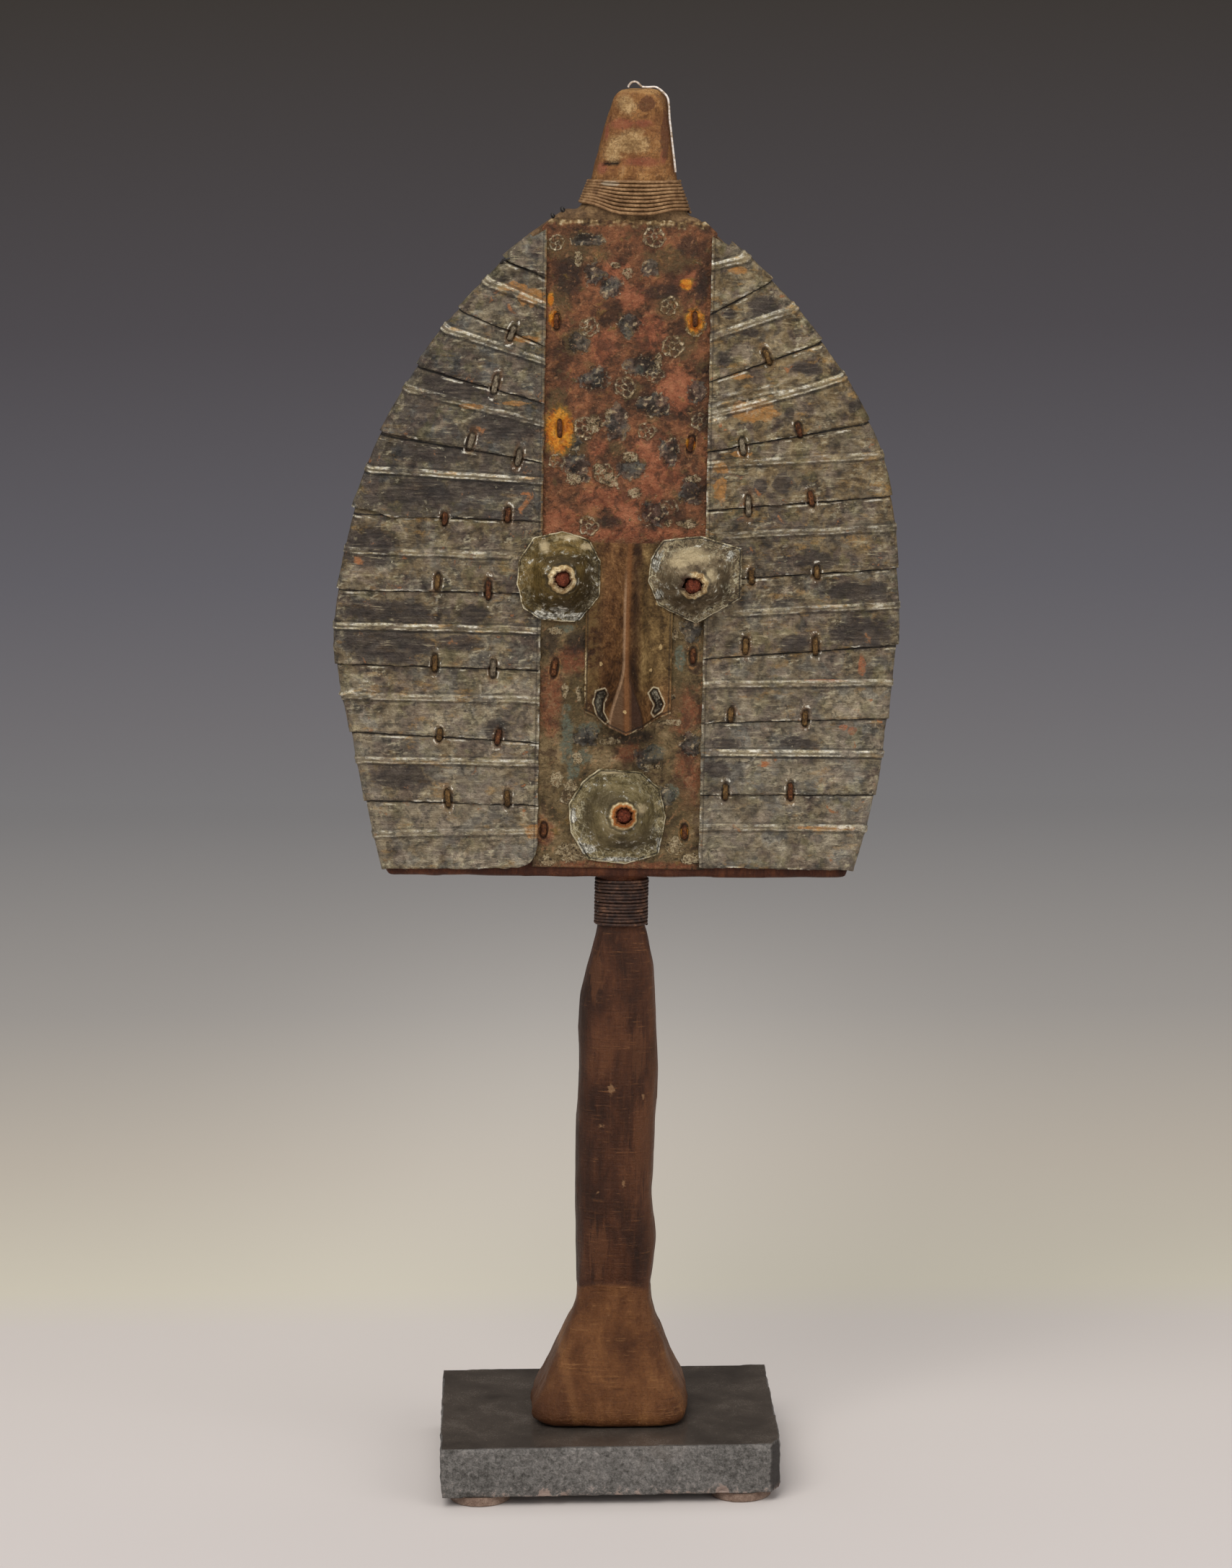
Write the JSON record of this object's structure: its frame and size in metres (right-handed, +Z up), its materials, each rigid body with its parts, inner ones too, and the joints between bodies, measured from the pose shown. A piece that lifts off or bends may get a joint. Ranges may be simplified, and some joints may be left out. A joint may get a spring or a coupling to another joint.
{
  "type": "reliquary figure",
  "caption": "Wooden reliquary figure with a tall leaf-shaped face clad in metal strips and a copper panel, wound neck and topknot, on a small stone slab with pads.",
  "frame": {"origin": "on the surface the pads stand on, below the middle of the whole work", "axes": "+Z up, -Y the way the face looks, +X to the viewer's right"},
  "size_m": [0.2232, 0.1104, 0.5548],
  "materials": {
    "wood": "dark, worn, hand-carved",
    "copper": "aged copper, red-brown with dark blotches",
    "sheet": "dull olive-grey patina",
    "cone": "worn olive-brass, hammered",
    "iron": "rusted",
    "winding": "dark brown, oxidised",
    "pale": "pale, dull",
    "stone": "grey speckled, top rubbed smooth",
    "pad": "felt"
  },
  "bodies": {
    "root": {"stone_slab": "stone", "pad_front_left": "pad", "pad_front_right": "pad", "pad_back_left": "pad", "pad_back_right": "pad", "wood_figure": "wood", "copper_panel": "copper", "left_strip_01": "sheet", "left_strip_02": "sheet", "left_strip_03": "sheet", "left_strip_04": "sheet", "left_strip_05": "sheet", "left_strip_06": "sheet", "left_strip_07": "sheet", "left_strip_08": "sheet", "left_strip_09": "sheet", "left_strip_10": "sheet", "right_strip_01": "sheet", "right_strip_02": "sheet", "right_strip_03": "sheet", "right_strip_04": "sheet", "right_strip_05": "sheet", "right_strip_06": "sheet", "right_strip_07": "sheet", "right_strip_08": "sheet", "right_strip_09": "sheet", "nose_plate": "copper", "left_eye_cone": "cone", "left_eye_nail": "iron", "right_eye_cone": "cone", "right_eye_nail": "iron", "mouth_cone": "cone", "mouth_nail": "iron", "topknot_winding": "winding", "neck_winding": "winding", "hanging_wire": "pale"}
  },
  "joints": []
}
